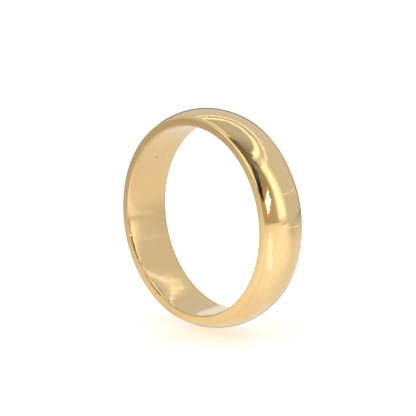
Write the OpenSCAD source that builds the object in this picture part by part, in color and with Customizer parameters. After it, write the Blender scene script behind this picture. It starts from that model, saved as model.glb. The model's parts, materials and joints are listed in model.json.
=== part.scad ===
// Plain D-section wedding band: one solid hoop of yellow gold, with a round bore, two flat sides
// and a domed outer face. The bore's axis lies along Y and the origin is the centre of the bore.
// All sizes are in millimetres.

/* [Ring] */
// Diameter of the bore, which is the ring size: 18.3 has an inner circumference of 57.5
bore_d = 18.3; // [14:0.1:23]
// Width of the band along its axis
band_w = 5; // [4:0.1:8]
// Thickness of the wall from the bore to the crown of the dome
wall_t = 1.55; // [1.3:0.05:2.2]

/* [Edges] */
// Height above the bore at which each side starts to turn into its shoulder
side_h = 0.7; // [0.5:0.02:0.84]
// Radius of the shoulder that blends each side into the dome
shoulder_r = 0.3; // [0.1:0.02:0.4]
// Radius of the rounded edge at each mouth of the bore
bore_edge_r = 0.2; // [0.1:0.02:0.24]

/* [Hidden] */
$fn = 240;
gold = [0.87, 0.72, 0.48];

half_w = band_w / 2;
bore_r = bore_d / 2;
crown_r = bore_r + wall_t;

// Centre of the shoulder's arc: its distance from the ring's axis, and from the band's middle
shoulder_out = bore_r + side_h;
shoulder_off = half_w - shoulder_r;

// The dome is one arc, which peaks at the crown and runs smoothly into both shoulders
dome_rise = crown_r - shoulder_out;
dome_r = (pow(shoulder_off, 2) + pow(dome_rise, 2) - pow(shoulder_r, 2))
    / (2 * (dome_rise - shoulder_r));
dome_centre = crown_r - dome_r;
dome_angle = atan2(shoulder_off, shoulder_out - dome_centre);

// The section is drawn with X as the distance from the ring's axis and Y along that axis

// Wall between the bore and the shoulders, with its corners cut where the rounded edges start
module section_wall() {
    polygon([
        [bore_r, half_w - bore_edge_r],
        [bore_r, bore_edge_r - half_w],
        [bore_r + bore_edge_r, -half_w],
        [shoulder_out, -half_w],
        [shoulder_out, half_w],
        [bore_r + bore_edge_r, half_w]
    ]);
}

// Dome between the two lines that join the dome's centre to the centres of the shoulders
module section_dome() {
    reach_out = shoulder_out + dome_r * cos(dome_angle);
    reach_off = shoulder_off + dome_r * sin(dome_angle);
    intersection() {
        translate([dome_centre, 0]) circle(r = dome_r);
        polygon([
            [shoulder_out, -shoulder_off],
            [reach_out, -reach_off],
            [reach_out, reach_off],
            [shoulder_out, shoulder_off]
        ]);
    }
}

// One side's two rounded corners: s is 1 or -1
module section_corners(s) {
    translate([shoulder_out, s * shoulder_off]) circle(r = shoulder_r);
    translate([bore_r + bore_edge_r, s * (half_w - bore_edge_r)]) circle(r = bore_edge_r);
}

module section() {
    section_wall();
    section_dome();
    for (s = [-1, 1]) section_corners(s);
}

// The whole band, standing on its edge
module band() {
    color(gold) rotate([90, 0, 0]) rotate_extrude() section();
}

band();
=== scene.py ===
"""Looks of the plain gold wedding band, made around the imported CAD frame.

The band is one closed mesh turned from the D-section. Its outside is polished gold and its bore
is a finer satin, each with its own wear, and the metal itself is a few microns off true, as a
hand-polished ring is. It stands on a pale floor in a white light tent whose front is open
towards the camera. Everything is in metres, in the CAD frame: the bore's axis lies along Y and
Z is up. Sizes named here are in millimetres unless they say otherwise.
"""

import json
import math

import bpy
import numpy as np
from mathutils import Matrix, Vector


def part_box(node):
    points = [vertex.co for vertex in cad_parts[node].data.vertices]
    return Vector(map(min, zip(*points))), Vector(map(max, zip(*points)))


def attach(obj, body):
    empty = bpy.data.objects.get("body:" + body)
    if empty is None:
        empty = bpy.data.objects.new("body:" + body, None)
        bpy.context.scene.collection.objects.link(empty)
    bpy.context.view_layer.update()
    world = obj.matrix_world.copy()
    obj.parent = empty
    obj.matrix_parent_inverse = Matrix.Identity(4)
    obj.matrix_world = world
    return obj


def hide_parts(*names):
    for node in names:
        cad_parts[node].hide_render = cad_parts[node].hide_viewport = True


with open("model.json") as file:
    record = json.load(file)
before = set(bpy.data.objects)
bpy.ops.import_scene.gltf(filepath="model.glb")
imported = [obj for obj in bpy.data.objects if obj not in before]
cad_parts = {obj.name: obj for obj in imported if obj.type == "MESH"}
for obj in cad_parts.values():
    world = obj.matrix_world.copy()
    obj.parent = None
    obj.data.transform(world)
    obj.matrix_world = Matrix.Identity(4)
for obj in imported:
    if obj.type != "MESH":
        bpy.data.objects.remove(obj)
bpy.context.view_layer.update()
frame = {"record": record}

MM = 0.001
UP = Vector((0, 0, 1))

# The band. Its outside sizes come from the CAD node's box, and its bore from the mount.
SIDE_HEIGHT = 0.70
SHOULDER_RADIUS = 0.30
STEPS_AROUND = 660
GOLD = (0.95, 0.69, 0.35)
WORN_GOLD = (0.86, 0.60, 0.27)
# Painted shade: the grey that the polished gold's reflection is tinted towards where it turns
# edge-on to the camera
OUTLINE_PAINTED_SHADE = (0.50, 0.50, 0.42)
BORE_GOLD = (0.91, 0.645, 0.32)
BORE_TARNISH = (0.86, 0.59, 0.28)
PIT_BROWN = (0.34, 0.19, 0.08)
# Painted reflection: the warm gold that the floor shows the camera close to the band
WARM_PAINTED_REFLECTION = (1.0, 0.94, 0.78)

# Hand finishing: how far the metal falls short of true at most, and the waves it does so in,
# each as (times around, turns along the section, start in turns)
FINISH_DEPTH = 0.0035
FINISH_WAVES = [(7, 1, 0.10), (11, 2, 0.45), (16, 1, 0.70), (23, 3, 0.25), (31, 2, 0.85)]

# How much wider the bore is worn at its two ends than in its middle
BORE_EASE = 0.075

# Dings and pits: (degrees around, along the axis, radius, depth), outside and in the bore
OUTSIDE_DINGS = [(38, -1.5, 0.34, 0.005), (22, 0.9, 0.30, 0.004), (83, -0.8, 0.36, 0.004),
                 (-24, -1.0, 0.40, 0.006), (131, 0.6, 0.34, 0.005), (202, -0.3, 0.38, 0.005),
                 (248, 1.1, 0.32, 0.004), (305, 0.2, 0.36, 0.005)]
BORE_DINGS = [(214, -0.9, 0.30, 0.010), (143, -0.5, 0.26, 0.008), (134, 0.4, 0.26, 0.008),
              (20, 0.6, 0.30, 0.008), (318, -0.4, 0.28, 0.009)]
# Nicks where the bore meets the front face, which catch the flash: (degrees around, radius, depth)
EDGE_NICKS = [(197, 0.26, 0.020), (212, 0.24, 0.020), (74, 0.30, 0.012), (331, 0.26, 0.012)]

# Light colours, and the brightness of what the gold reflects: 1 is a white floor
TENT_WHITE = (0.95, 1.0, 1.06)
DAYLIGHT = (0.85, 1.0, 1.35)
LAMP_WHITE = (1.0, 1.0, 0.97)
FLASH_FRINGE = (1.0, 0.5, 0.2)

# The tent, measured from the middle of the band: to the right, away from the camera and up
TENT_SIDE = 200
TENT_BACK = 200
TENT_FRONT = -75
TENT_TOP = 200
WALL_SHADE_TOP = 90

# The roof, as (right, away). Its diffuser is a clouded pane inside a bright rim.
ROOF = [(-200, -75), (-60, -40), (-14, 4), (23, -11), (52, -45), (90, -70), (200, -75),
        (200, 200), (-200, 200)]
DIFFUSER = [(-14, 8), (-50, 93), (-74, 150), (-53, 142), (-40, 136), (-7, 132), (26, 128),
            (57, 111), (90, 80), (108, 40), (110, 8), (98, -30), (80, -62), (52, -45), (23, -11)]
RIM_NEAR = [(0, -2), (-14, 8), (-32, 50), (-50, 93), (-74, 150)]
RIM_FAR = [(-74, 152), (-53, 144), (-40, 138), (-7, 134), (26, 130), (57, 113), (90, 82),
           (109, 42), (112, 10), (102, -22), (86, -50)]
RIM_CORNER = [(84, 92), (104, 62), (114, 30), (113, 0), (100, -30), (82, -52)]
RIM_OUTER = [(-190, 192), (-80, 190), (0, 187), (35, 185), (67, 176), (102, 158), (132, 124),
             (158, 66), (170, 17), (173, -20)]

# The flash's star, as (turn, rise) in degrees from its middle
FLASH_STAR = [(6.5, 9.5), (3.4, 3.2), (6.0, 0.8), (0.9, -3.4), (-4.2, -11), (-3.4, -3.2),
              (-6.0, -0.8), (-0.3, 3.4)]

# The camera: degrees round from the front and up, millimetres away, and its lens and aim
CAMERA_AZIMUTH = 46.7
CAMERA_ELEVATION = 10.84
CAMERA_DISTANCE = 245.2
LENS_PER_SENSOR = 2533.8 / 416
AIM_SHIFT = (-2.5 / 416, 10.0 / 416)


# ---------------------------------------------------------------------------- section

def record_mount(name):
    return next(m for m in frame["record"]["mounts"] if m["name"] == name)


def arc(centre, radius, first, last, steps):
    """Points and outward normals along an arc of the section, its last point left out."""
    angles = np.radians(np.linspace(first, last, steps, endpoint=False))
    normals = np.stack([np.cos(angles), np.sin(angles)], axis=1)
    return np.array(centre) + radius * normals, normals


def flat(start, end, normal, steps):
    """Points and outward normals along a straight stretch, its last point left out."""
    share = np.linspace(0.0, 1.0, steps, endpoint=False)[:, None]
    points = np.array(start) + share * (np.array(end) - np.array(start))
    return points, np.tile(np.array(normal, float), (steps, 1))


def band_section():
    """The D-section as (distance from the axis, place along the axis), with its normals."""
    low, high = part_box("band")
    bore = record_mount("finger_bore")["dims"]
    half = (high.y - low.y) / 2 / MM
    crown = (high.z - low.z) / 2 / MM
    inner = bore["r_mm"]
    edge = half - bore["length_mm"] / 2

    shoulder = inner + SIDE_HEIGHT
    offset = half - SHOULDER_RADIUS
    rise = crown - shoulder
    dome = (offset**2 + rise**2 - SHOULDER_RADIUS**2) / (2 * (rise - SHOULDER_RADIUS))
    turn = math.degrees(math.atan2(offset, shoulder - crown + dome))

    stretches = [
        arc((crown - dome, 0), dome, -turn, turn, 48),
        arc((shoulder, offset), SHOULDER_RADIUS, turn, 90, 14),
        flat((shoulder, half), (inner + edge, half), (0, 1), 4),
        arc((inner + edge, half - edge), edge, 90, 180, 10),
        flat((inner, half - edge), (inner, edge - half), (-1, 0), 32),
        arc((inner + edge, edge - half), edge, 180, 270, 10),
        flat((inner + edge, -half), (shoulder, -half), (0, -1), 4),
        arc((shoulder, -offset), SHOULDER_RADIUS, 270, 360 - turn, 14),
    ]
    points = np.concatenate([s[0] for s in stretches])
    normals = np.concatenate([s[1] for s in stretches])
    in_bore = points[:, 0] < inner + 0.5 * edge
    return points, normals, in_bore


# ---------------------------------------------------------------------------- band

def finish_depth(around, points):
    """How far each point lies under the true surface: shallow waves left by hand polishing."""
    steps = np.hypot(*np.diff(points, axis=0, append=points[:1]).T)
    along = (np.cumsum(steps) / steps.sum())[None, :]
    wave = np.zeros((len(around), len(points)))
    for times, turns, start in FINISH_WAVES:
        wave += np.sin(times * around + 2 * math.pi * (turns * along + start))
    return FINISH_DEPTH * (0.5 - 0.5 * wave / len(FINISH_WAVES))


def ding_depth(around, points, dings, where):
    """Shallow round dents, on the part of the section that where picks out."""
    depth = np.zeros((len(around), len(points)))
    for degrees, along, radius, deep in dings:
        apart = (around - math.radians(degrees) + math.pi) % (2 * math.pi) - math.pi
        distance = np.hypot(apart * points[None, :, 0], points[None, :, 1] - along) / radius
        depth += deep * np.clip(1 - distance**2, 0, 1) ** 2
    return depth * where[None, :]


def nick_depth(around, points):
    """Small nicks on the rounded edge between the bore and the front face."""
    edge = points[:, 0].min() + 0.06
    front = points[:, 1].min() + 0.06
    depth = np.zeros((len(around), len(points)))
    for degrees, radius, deep in EDGE_NICKS:
        apart = (around - math.radians(degrees) + math.pi) % (2 * math.pi) - math.pi
        across = np.hypot(points[:, 0] - edge, points[:, 1] - front)[None, :]
        distance = np.hypot(apart * edge, across) / radius
        depth += deep * np.clip(1 - distance**2, 0, 1) ** 2
    return depth


def band_surface():
    """The band's points in a grid, around by along the section, and which lie in the bore."""
    points, normals, in_bore = band_section()
    around = np.linspace(0, 2 * math.pi, STEPS_AROUND, endpoint=False)[:, None]
    depth = finish_depth(around, points)
    depth += ding_depth(around, points, OUTSIDE_DINGS, ~in_bore)
    depth += ding_depth(around, points, BORE_DINGS, in_bore)
    depth += nick_depth(around, points)
    depth += BORE_EASE * in_bore * np.abs(points[:, 1] / points[:, 1].max()) ** 3
    out = points[None, :, 0] - depth * normals[None, :, 0]
    along = points[None, :, 1] - depth * normals[None, :, 1]
    grid = np.stack([out * np.cos(around), along, out * np.sin(around)], axis=-1)
    return grid, in_bore


def make_band():
    grid, in_bore = band_surface()
    rows, count = grid.shape[:2]
    i, j = np.meshgrid(np.arange(rows), np.arange(count), indexing="ij")
    i2, j2 = (i + 1) % rows, (j + 1) % count
    quads = np.stack([i * count + j, i * count + j2, i2 * count + j2, i2 * count + j], axis=-1)
    mesh = bpy.data.meshes.new("gold_band")
    mesh.from_pydata((grid.reshape(-1, 3) * MM).tolist(), [], quads.reshape(-1, 4).tolist())
    mesh.polygons.foreach_set("use_smooth", np.ones(rows * count, bool))
    bore_face = (in_bore & np.roll(in_bore, -1)).astype(np.int32)
    mesh.polygons.foreach_set("material_index", np.tile(bore_face, rows))
    mesh.materials.append(polished_gold())
    mesh.materials.append(satin_gold())
    mesh.update()
    band = bpy.data.objects.new("gold_band", mesh)
    bpy.context.scene.collection.objects.link(band)
    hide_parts("band")
    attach(band, "root")


# ---------------------------------------------------------------------------- node helpers

class Tree:
    """A node tree that is built one node at a time."""

    def __init__(self, owner):
        owner.use_nodes = True
        self.nodes = owner.node_tree.nodes
        self.links = owner.node_tree.links

    def add(self, kind, inputs=None, **settings):
        """Add a node. An input may be a plain value or another node's output."""
        made = self.nodes.new(kind)
        for name, value in settings.items():
            setattr(made, name, value)
        for name, value in (inputs or {}).items():
            if isinstance(value, bpy.types.NodeSocket):
                self.links.new(value, made.inputs[name])
            else:
                made.inputs[name].default_value = value
        return made

    def maths(self, operation, first, second=0.0):
        return self.add("ShaderNodeMath", {0: first, 1: second}, operation=operation).outputs[0]

    def ease(self, value, start, end, first=0.0, last=1.0):
        """A smooth step from first to last while the value goes from start to end."""
        inputs = {"Value": value, "From Min": start, "From Max": end,
                  "To Min": first, "To Max": last}
        made = self.add("ShaderNodeMapRange", inputs, interpolation_type="SMOOTHSTEP")
        return made.outputs[0]

    def place(self):
        return self.add("ShaderNodeTexCoord").outputs["Object"]

    def noise(self, scale, detail, stretch=(1, 1, 1)):
        """Noise at a scale per millimetre, stretched by a factor along each axis."""
        size = Vector(stretch) / MM
        point = self.add("ShaderNodeMapping", {"Vector": self.place(), "Scale": size})
        inputs = {"Vector": point.outputs[0], "Scale": scale, "Detail": detail}
        return self.add("ShaderNodeTexNoise", inputs).outputs[0]

    def mix_colour(self, share, first, second):
        made = self.add("ShaderNodeMix", data_type="RGBA")
        for socket, value in ((0, share), (6, first), (7, second)):
            if isinstance(value, bpy.types.NodeSocket):
                self.links.new(value, made.inputs[socket])
            else:
                made.inputs[socket].default_value = value if socket == 0 else (*value, 1)
        return made.outputs[2]

    def bump(self, height, microns, under=None):
        """A bump of some microns, laid over the bump under it."""
        inputs = {"Height": height, "Distance": microns * MM * MM, "Strength": 1.0}
        if under is not None:
            inputs["Normal"] = under
        return self.add("ShaderNodeBump", inputs).outputs[0]


def metal(name):
    material = bpy.data.materials.new(name)
    tree = Tree(material)
    shader = tree.nodes["Principled BSDF"]
    shader.inputs["Metallic"].default_value = 1.0
    return material, tree, shader


def edge_share(tree, start, end):
    """From 0 to 1 between two distances from the band's middle plane, in millimetres."""
    split = tree.add("ShaderNodeSeparateXYZ", {0: tree.place()})
    across = tree.maths("ABSOLUTE", split.outputs["Y"])
    return tree.ease(across, start * MM, end * MM)


def pits(tree, scale, size):
    """0 in the middle of small scattered pits and 1 everywhere else."""
    inputs = {"Vector": tree.place(), "Scale": Vector((1, 1, 1)) / MM}
    point = tree.add("ShaderNodeMapping", inputs)
    cells = tree.add("ShaderNodeTexVoronoi", {"Vector": point.outputs[0], "Scale": scale})
    return tree.ease(cells.outputs["Distance"], 0.4 * size * scale, size * scale)


def polished_gold():
    """Bright gold with fine turned hairlines, rougher and nicked where the shoulders rub."""
    material, tree, shader = metal("polished_gold")
    # Painted shade: where the surface turns edge-on to the camera its reflection is tinted grey,
    # darkening the outline
    grazing = tree.ease(tree.add("ShaderNodeLayerWeight").outputs["Facing"], 0.78, 0.90)
    painted_light_tint = tree.mix_colour(grazing, (1, 1, 1), OUTLINE_PAINTED_SHADE)
    tree.links.new(painted_light_tint, shader.inputs["Specular Tint"])
    shoulder = edge_share(tree, 1.9, 2.4)
    hairlines = tree.noise(1.0, 3.0, (0.16, 5.0, 0.16))
    smears = tree.noise(0.35, 2.0)
    nicks = tree.noise(3.2, 2.0)
    sound = pits(tree, 0.28, 0.12)

    speckle = tree.ease(tree.noise(4.5, 3.0), 0.42, 0.62)
    smears = tree.maths("ADD", smears, tree.maths("MULTIPLY", speckle, 0.7))
    worn = tree.maths("MULTIPLY", smears, tree.maths("ADD", shoulder, 0.6))
    colour = tree.mix_colour(worn, GOLD, WORN_GOLD)
    tree.links.new(tree.mix_colour(sound, PIT_BROWN, colour), shader.inputs["Base Color"])
    fine = tree.ease(hairlines, 0.3, 0.75, 0.035, 0.075)
    rough = tree.maths("ADD", fine, tree.maths("MULTIPLY", shoulder, 0.04))
    tree.links.new(rough, shader.inputs["Roughness"])
    lines = tree.bump(hairlines, 4.0)
    marks = tree.bump(tree.maths("MULTIPLY", nicks, shoulder), 6.0, lines)
    tree.links.new(marks, shader.inputs["Normal"])
    return material


def satin_gold():
    """The bore's finer satin: short streaks along the axis, soft mottling and a few pits."""
    material, tree, shader = metal("satin_gold")
    streaks = tree.noise(1.0, 3.0, (3.2, 0.55, 3.2))
    mottle = tree.noise(0.8, 3.0)
    sound = pits(tree, 0.5, 0.15)

    speckle = tree.ease(tree.noise(4.5, 3.0), 0.40, 0.64)
    stain = tree.maths("ADD", mottle, tree.maths("MULTIPLY", speckle, 0.5))
    colour = tree.mix_colour(stain, BORE_GOLD, BORE_TARNISH)
    tree.links.new(tree.mix_colour(sound, PIT_BROWN, colour), shader.inputs["Base Color"])
    rough = tree.ease(mottle, 0.3, 0.7, 0.08, 0.15)
    tree.links.new(rough, shader.inputs["Roughness"])
    grain = tree.bump(mottle, 6.0, tree.bump(streaks, 9.0))
    tree.links.new(tree.bump(sound, 14.0, grain), shader.inputs["Normal"])
    return material


# ---------------------------------------------------------------------------- light tent

def tent_point(right, away, up):
    """A point in the tent: to the camera's right, away from it, and up."""
    a = math.radians(CAMERA_AZIMUTH)
    x = right * math.cos(a) - away * math.sin(a)
    y = right * math.sin(a) + away * math.cos(a)
    return Vector((x, y, up)) * MM


def aimed_point(turn, rise, distance):
    """A point in the tent by its turn from the camera's side and its rise, in degrees."""
    t, e = math.radians(turn), math.radians(rise)
    level = distance * math.cos(e)
    return tent_point(level * math.sin(t), -level * math.cos(t), distance * math.sin(e))


def floor_height():
    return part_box("band")[0].z


def light(name, level, colour=TENT_WHITE, shade=None, soft=None):
    """A light surface. shade is (direction, start, end, first level): the level eases from the
    first level to its own between those two places. soft is how much of each half width, across
    and up, the edges take to fade out."""
    material = bpy.data.materials.new(name)
    tree = Tree(material)
    tree.nodes.clear()
    if shade is not None:
        direction, start, end, first = shade
        dot = tree.add("ShaderNodeVectorMath", {0: tree.place(), 1: direction},
                       operation="DOT_PRODUCT")
        level = tree.ease(dot.outputs["Value"], start * MM, end * MM, first, level)
    glow = tree.add("ShaderNodeEmission", {"Color": (*colour, 1), "Strength": level})
    result = glow.outputs[0]
    if soft is not None:
        share = soft_share(tree, soft)
        clear = tree.add("ShaderNodeBsdfTransparent")
        result = tree.add("ShaderNodeMixShader", {0: share, 1: clear.outputs[0], 2: result})
        result = result.outputs[0]
    tree.add("ShaderNodeOutputMaterial", {0: result})
    return material


def soft_share(tree, soft):
    """1 in the middle of a panel, easing to 0 at its edges."""
    place = tree.add("ShaderNodeUVMap").outputs[0]
    split = tree.add("ShaderNodeSeparateXYZ", {0: place})
    share = 1.0
    for axis, part in zip("XY", soft):
        if part > 0:
            off_centre = tree.maths("ABSOLUTE", tree.maths("SUBTRACT", split.outputs[axis], 0.5))
            fade = tree.ease(off_centre, 0.5 - part / 2, 0.5, 1.0, 0.0)
            share = tree.maths("MULTIPLY", fade, share)
    return share


def stage_light(name, corners, faces, material, lights_floor, places=None):
    """Put a light surface on the stage. The camera looks through it, so every view is open."""
    mesh = bpy.data.meshes.new(name)
    mesh.from_pydata(corners, [], faces)
    if places is not None:
        layer = mesh.uv_layers.new(name="place")
        for loop in mesh.loops:
            layer.data[loop.index].uv = places[loop.vertex_index]
    mesh.materials.append(material)
    obj = bpy.data.objects.new(name, mesh)
    bpy.context.scene.collection.objects.link(obj)
    obj.visible_camera = False
    obj.visible_shadow = False
    obj.visible_diffuse = lights_floor


def panel(name, corners, material, lights_floor=True):
    stage_light(name, corners, [tuple(range(len(corners)))], material, lights_floor)


def soft_panel(name, corners, level, colour, soft, lights_floor=False):
    """A four-cornered light with fading edges. Its corners go round from the lower left."""
    material = light(name, level, colour, soft=soft)
    places = [(0, 0), (1, 0), (1, 1), (0, 1)]
    stage_light(name, corners, [(0, 1, 2, 3)], material, lights_floor, places)


def ribbon(name, path, facing, width, level, soft=0.8):
    """A light line along a path, lying in the plane that faces that way."""
    tangents = []
    for k in range(len(path)):
        ahead = path[min(k + 1, len(path) - 1)] - path[max(k - 1, 0)]
        tangents.append(ahead.normalized())
    points = []
    places = []
    for k, (point, tangent) in enumerate(zip(path, tangents)):
        across = tangent.cross(facing).normalized() * width * MM / 2
        points += [point - across, point + across]
        share = k / (len(path) - 1)
        places += [(share, 0), (share, 1)]
    faces = [(2 * k, 2 * k + 1, 2 * k + 3, 2 * k + 2) for k in range(len(path) - 1)]
    material = light(name, level, soft=(0.25, soft))
    stage_light(name, points, faces, material, False, places)


def wall(name, first, last, level, foot_level):
    """A wall that brightens from its foot up."""
    foot = floor_height() / MM
    shade = (UP, foot, WALL_SHADE_TOP, foot_level)
    corners = [tent_point(*first, foot), tent_point(*last, foot),
               tent_point(*last, TENT_TOP), tent_point(*first, TENT_TOP)]
    panel(name, corners, light(name, level, shade=shade))


def make_walls():
    side, back, front = TENT_SIDE, TENT_BACK, TENT_FRONT
    wall("tent_wall_right", (side, front), (side, back), 0.75, 0.71)
    wall("tent_wall_left", (-side, front), (-side, back), 0.72, 0.50)
    wall("tent_wall_back", (-side, back), (side, back), 0.73, 0.20)
    seam = [tent_point(side - 6, -100, 81), tent_point(side - 6, 36, 56),
            tent_point(side - 6, 172, 31)]
    ribbon("wall_seam", seam, tent_point(1, 0, 0).normalized(), 5, 1.1)
    foot = floor_height() / MM
    corner = [tent_point(right, back - 4, up)
              for right, up in ((25, foot), (side, foot), (side, 80), (25, 80))]
    soft_panel("back_corner_glow", corner, 0.62, TENT_WHITE, (0.6, 0.5))


def roof_points(outline, drop):
    return [tent_point(right, away, TENT_TOP - drop) for right, away in outline]


def make_roof():
    panel("tent_roof", roof_points(ROOF, 0), light("tent_roof", 0.78))
    away = tent_point(0, 1, 0).normalized()
    cloudy = light("diffuser", 0.62, shade=(away, -60, 45, 0.26))
    panel("diffuser", roof_points(DIFFUSER, 2), cloudy)
    ribbon("rim_gap", roof_points([(x + 12, y + 16) for x, y in RIM_FAR], 2), UP, 34, 0.5)
    ribbon("rim_near", roof_points(RIM_NEAR, 4), UP, 22, 1.3)
    ribbon("rim_far", roof_points(RIM_FAR, 4), UP, 34, 1.5)
    ribbon("rim_corner", roof_points(RIM_CORNER, 5), UP, 46, 1.5)
    ribbon("rim_outer", roof_points(RIM_OUTER, 4), UP, 26, 1.35)


def make_tent_lamps():
    """The two upright lamps at the tent's open front, and the right one's glow on the roof."""
    foot = floor_height() / MM
    for name, side, level in (("right", 1, 1.6), ("left", -1, 1.3)):
        spots = [(-135, foot), (-8, foot), (-8, 320), (-135, 320)]
        corners = [tent_point(side * (TENT_SIDE - 4), away, up) for away, up in spots]
        soft_panel(f"tent_lamp_{name}", corners, level, LAMP_WHITE, (0.9, 0.2), True)
    glow = [tent_point(right, away, TENT_TOP - 6)
            for right, away in ((120, -110), (205, -110), (205, 10), (120, 10))]
    soft_panel("lamp_on_roof", glow, 1.5, LAMP_WHITE, (0.9, 0.9))


def make_low_card():
    """A low white card just behind the band, which only the bottom of the bore catches."""
    foot = floor_height() / MM
    corners = [tent_point(right, 58, up)
               for right, up in ((-18, foot), (10, foot), (10, 11), (-18, 11))]
    soft_panel("low_card", corners, 0.98, TENT_WHITE, (0.3, 0.3))


def make_room_lights():
    """What the gold sees out of the open front: a dark figure, a flash and a window."""
    figure = [aimed_point(t, e, 330)
              for t, e in ((-40, 14), (34, 20), (37, 38), (43, 50), (34, 62), (-40, 62))]
    panel("photographer", figure, light("photographer", 0.11, shade=(UP, 150, 235, 0.012)))
    sill = [aimed_point(t, e, 300) for t, e in ((-78, 14), (-8, 20), (33, 53), (-62, 43))]
    soft_panel("window_sill", sill, 1.0, LAMP_WHITE, (0.25, 0.25))
    window = [aimed_point(t, e, 296) for t, e in ((-72, 14), (-14, 18), (9, 38), (-34, 43))]
    soft_panel("window_lamp", window, 3.2, DAYLIGHT, (0.25, 0.25))
    for name, size, level, colour, distance in (("flash_fringe", 1.35, 1.7, FLASH_FRINGE, 300),
                                                ("flash", 1.0, 11.0, (1, 1, 1), 296)):
        corners = [aimed_point(43 + size * t, 20.5 + size * e, distance) for t, e in FLASH_STAR]
        panel(name, corners, light(name, level, colour), lights_floor=False)


def make_floor():
    """A pale floor. Its own light is set so that it is white to the camera, and as bright to
    the gold as a lit tent's floor: brightest in front, dimmer behind and to the left. Close to the
    band it is dimmer and warm gold to the camera: painted shade and a painted reflection of the
    gold."""
    low = floor_height()
    half = 1.2
    corners = [(-half, -half, low), (half, -half, low), (half, half, low), (-half, half, low)]
    mesh = bpy.data.meshes.new("floor")
    mesh.from_pydata(corners, [], [(0, 1, 2, 3)])
    floor = bpy.data.objects.new("floor", mesh)
    bpy.context.scene.collection.objects.link(floor)

    material = bpy.data.materials.new("white_floor")
    tree = Tree(material)
    shader = tree.nodes["Principled BSDF"]
    shader.inputs["Base Color"].default_value = (0.30, 0.30, 0.30, 1)
    shader.inputs["Roughness"].default_value = 0.22
    shader.inputs["IOR"].default_value = 1.25
    away = tree.add("ShaderNodeVectorMath", {0: tree.place(), 1: tent_point(0, 1, 0) / MM},
                    operation="DOT_PRODUCT").outputs["Value"]
    right = tree.add("ShaderNodeVectorMath", {0: tree.place(), 1: tent_point(1, 0, 0) / MM},
                     operation="DOT_PRODUCT").outputs["Value"]
    reach = tree.add("ShaderNodeVectorMath", {0: tree.place()}, operation="LENGTH")
    level = tree.ease(away, -0.012, 0.002, 0.79, 0.54)
    contact = tree.ease(reach.outputs["Value"], 0.0107, 0.014, 0.14, 0.0)
    contact = tree.maths("MULTIPLY", contact, tree.ease(away, -0.001, 0.003, 1.0, 0.0))
    level = tree.maths("ADD", level, contact)
    beside = tree.maths("MULTIPLY", tree.ease(right, 0.015, 0.07, 0.0, 0.2),
                        tree.ease(away, -0.04, -0.005))
    for dimmer in (tree.ease(reach.outputs["Value"], 0.02, 0.12, 0.0, 0.16),
                   tree.ease(away, 0.04, 0.12, 0.0, 0.22),
                   tree.ease(right, -0.07, -0.015, 0.20, 0.0), beside):
        level = tree.maths("SUBTRACT", level, dimmer)
    path = tree.add("ShaderNodeLightPath").outputs
    glossy = tree.maths("MULTIPLY", path["Is Glossy Ray"], level)
    # Painted shade and painted reflection: to the camera the floor's own light is dimmer and warm
    # gold close to the band
    near = tree.ease(reach.outputs["Value"], 0.0104, 0.0175)
    seen = tree.maths("MULTIPLY", path["Is Camera Ray"], tree.ease(near, 0.0, 1.0, 0.67, 0.80))
    tree.links.new(tree.maths("ADD", glossy, seen), shader.inputs["Emission Strength"])
    warm = tree.maths("MULTIPLY", path["Is Camera Ray"], tree.maths("SUBTRACT", 1.0, near))
    painted_light_tint = tree.mix_colour(warm, (1, 1, 1), WARM_PAINTED_REFLECTION)
    tree.links.new(painted_light_tint, shader.inputs["Emission Color"])
    mesh.materials.append(material)
    seam = [tent_point(300, -270, low / MM + 1), tent_point(158, -86, low / MM + 1),
            tent_point(50, 54, low / MM + 1)]
    ribbon("floor_seam", seam, UP, 6, 1.35)
    streak = [tent_point(right, away, low / MM + 0.5)
              for right, away in ((58, -72), (30, -38), (19, -24), (14, -16), (11, -11))]
    ribbon("flash_on_floor", streak, UP, 5, 1.4)


def make_overhead_lamp():
    """A soft lamp over the tent that only matt things feel."""
    lamp = bpy.data.lights.new("overhead_lamp", "AREA")
    lamp.shape = "SQUARE"
    lamp.size = 0.3
    lamp.energy = 0.35
    overhead = bpy.data.objects.new("overhead_lamp", lamp)
    overhead.location = tent_point(0, 30, 190)
    overhead.visible_glossy = False
    overhead.visible_camera = False
    bpy.context.scene.collection.objects.link(overhead)


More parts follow.
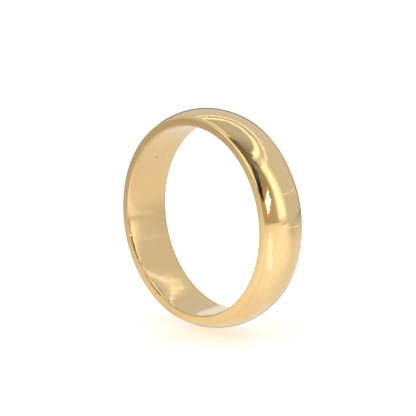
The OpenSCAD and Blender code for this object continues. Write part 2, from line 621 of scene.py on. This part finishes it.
def make_world():
    """White to the camera. The gold sees a dim, warm room through the tent's open front."""
    world = bpy.data.worlds.new("studio")
    bpy.context.scene.world = world
    tree = Tree(world)
    tree.nodes.clear()
    direction = tree.add("ShaderNodeTexCoord").outputs["Generated"]
    split = tree.add("ShaderNodeSeparateXYZ", {0: direction})
    ramp = tree.add("ShaderNodeValToRGB", {0: split.outputs["Z"]}).color_ramp
    stops = [(0.0, (0.50, 0.46, 0.36)), (0.25, (0.56, 0.48, 0.35)), (0.5, (0.42, 0.38, 0.28)),
             (0.8, (0.36, 0.34, 0.26)), (0.93, (0.20, 0.18, 0.13))]
    while len(ramp.elements) < len(stops):
        ramp.elements.new(1.0)
    for element, (position, colour) in zip(ramp.elements, stops):
        element.position = position
        element.color = (*colour, 1)
    room = tree.add("ShaderNodeBackground", {"Color": tree.nodes["Color Ramp"].outputs[0]})
    white = tree.add("ShaderNodeBackground", {"Color": (1, 1, 1, 1)})
    seen = tree.add("ShaderNodeLightPath").outputs["Is Camera Ray"]
    mix = tree.add("ShaderNodeMixShader", {0: seen, 1: room.outputs[0], 2: white.outputs[0]})
    tree.add("ShaderNodeOutputWorld", {0: mix.outputs[0]})


def make_camera():
    a, e = math.radians(CAMERA_AZIMUTH), math.radians(CAMERA_ELEVATION)
    back = Vector((math.sin(a) * math.cos(e), -math.cos(a) * math.cos(e), math.sin(e)))
    data = bpy.data.cameras.new("camera")
    data.sensor_width = 36
    data.lens = 36 * LENS_PER_SENSOR
    data.shift_x, data.shift_y = AIM_SHIFT
    data.clip_start, data.clip_end = 0.01, 5
    camera = bpy.data.objects.new("camera", data)
    camera.location = back * CAMERA_DISTANCE * MM
    camera.rotation_mode = "QUATERNION"
    camera.rotation_quaternion = (-back).to_track_quat("-Z", "Y")
    bpy.context.scene.collection.objects.link(camera)
    bpy.context.scene.camera = camera


make_band()
make_floor()
make_walls()
make_roof()
make_tent_lamps()
make_low_card()
make_room_lights()
make_overhead_lamp()
make_world()
make_camera()
bpy.context.scene.view_settings.view_transform = "Standard"

bpy.context.view_layer.update()
